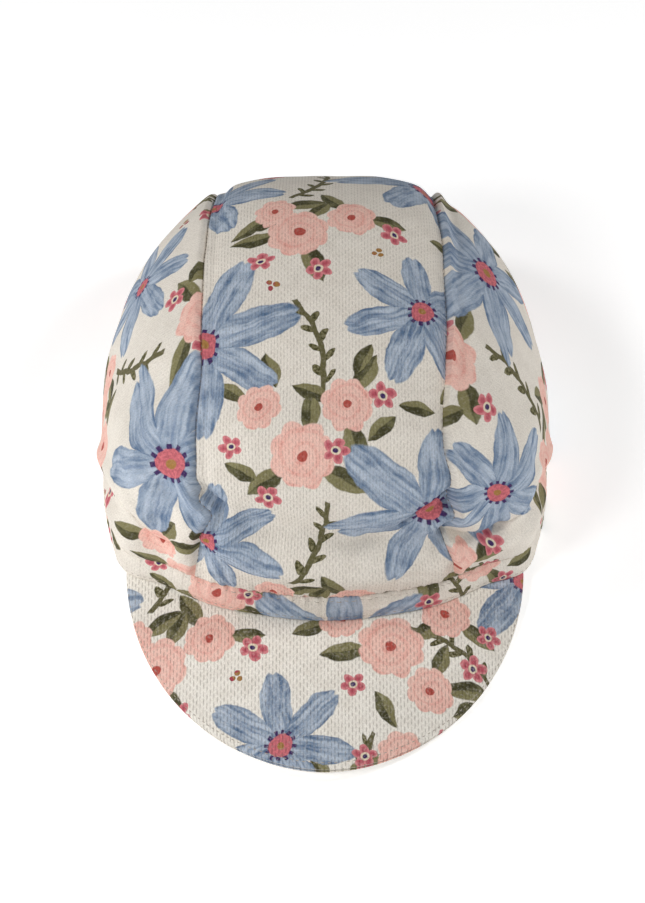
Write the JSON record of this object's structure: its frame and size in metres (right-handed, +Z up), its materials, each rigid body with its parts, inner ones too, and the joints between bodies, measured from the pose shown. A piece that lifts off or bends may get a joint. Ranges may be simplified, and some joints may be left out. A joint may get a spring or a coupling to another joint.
{
  "type": "cycling cap",
  "caption": "Soft knitted cycling cap with a panelled round crown on a narrow rim band and a short arched peak, open underneath for a head.",
  "frame": {"origin": "on the surface that the cap rests on, under the middle of its box", "axes": "+Z up out of the crown, -Y towards the tip of the peak, +X to the right in the picture"},
  "size_m": [0.1688, 0.2496, 0.1072],
  "materials": {
    "crown_knit": "matt printed eyelet knit, cream ground with a floral print",
    "peak_knit": "matt printed eyelet knit over a stiff peak, cream ground with a floral print"
  },
  "bodies": {
    "root": {"crown_centre": "crown_knit", "crown_left": "crown_knit", "crown_right": "crown_knit", "rim_band": "crown_knit", "peak_top": "peak_knit", "peak_underside": "peak_knit"}
  },
  "joints": []
}
